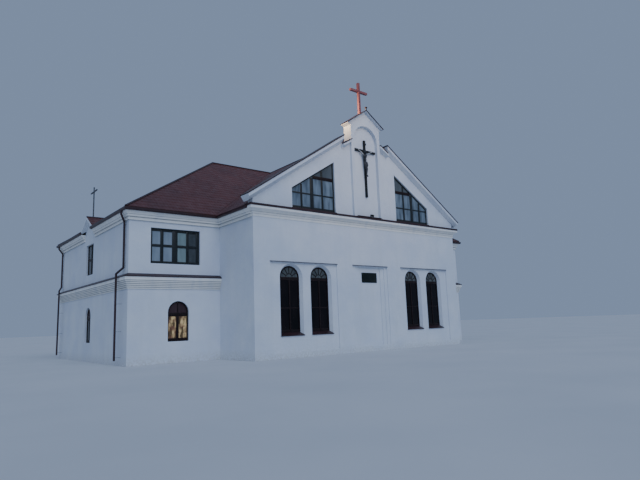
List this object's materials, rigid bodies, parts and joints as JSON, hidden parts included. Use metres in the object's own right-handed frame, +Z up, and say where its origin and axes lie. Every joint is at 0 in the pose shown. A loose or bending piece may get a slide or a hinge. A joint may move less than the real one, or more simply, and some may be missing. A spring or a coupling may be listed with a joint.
{
  "type": "modern church building",
  "caption": "Two-storey plastered church with a parapet gable front, a bellcote with a crucifix niche, hipped roof wings and roof crosses.",
  "frame": {"origin": "on the ground, in the middle of the building's bounding box", "axes": "+Z up, the gable front faces -Y, +X to the right as seen from the front"},
  "size_m": [25.66, 17.4403, 15.91],
  "materials": {
    "plaster": "matte",
    "roof_metal": "satin",
    "dark_trim": "satin",
    "window": "satin",
    "glass": "gloss",
    "concrete": "matte",
    "red_paint": "satin",
    "dark_wood": "matte",
    "figure_metal": "satin",
    "cross_steel": "satin",
    "door_wood": "satin",
    "plaque": "gloss"
  },
  "bodies": {
    "root": {"front_wall": "plaster", "front_side_wall_left": "plaster", "front_side_wall_right": "plaster", "wing_front_wall_left": "plaster", "wing_front_wall_right": "plaster", "wing_side_wall_left": "plaster", "wing_side_wall_right": "plaster", "rear_wall": "plaster", "gable_wall_left": "plaster", "gable_wall_right": "plaster", "bellcote": "plaster", "cornice_front": "plaster", "cornice_rear": "plaster", "string_course": "plaster", "nave_slope_left": "roof_metal", "nave_slope_right": "roof_metal", "wing_slope_front_left": "roof_metal", "wing_slope_front_right": "roof_metal", "hip_slope_left": "roof_metal", "hip_slope_right": "roof_metal", "wing_slope_rear": "roof_metal", "gablet_roof_left": "roof_metal", "gablet_roof_right": "roof_metal", "rake_flashing_left": "dark_trim", "rake_flashing_right": "dark_trim", "bellcote_roof": "dark_trim", "gutter_front": "dark_trim", "gutter_rear": "dark_trim", "string_flashing": "dark_trim", "tall_window_1": "window", "tall_window_2": "window", "tall_window_3": "window", "tall_window_4": "window", "gable_window_left": "window", "gable_window_right": "window", "wing_window_left": "window", "wing_window_right": "window", "arched_window_left": "window", "side_window_left_upper": "window", "side_window_left_lower": "window", "side_window_right_upper": "window", "side_window_right_lower": "window", "rear_glass_upper": "glass", "rear_glass_lower": "glass", "ground_floor": "concrete", "upper_floor": "concrete", "attic_floor": "concrete", "ridge_cross": "red_paint", "crucifix_cross": "dark_wood", "crucifix_figure": "figure_metal", "gablet_cross_left": "cross_steel", "gablet_cross_right": "cross_steel", "side_door": "door_wood", "wall_plaque": "plaque"}
  },
  "joints": []
}
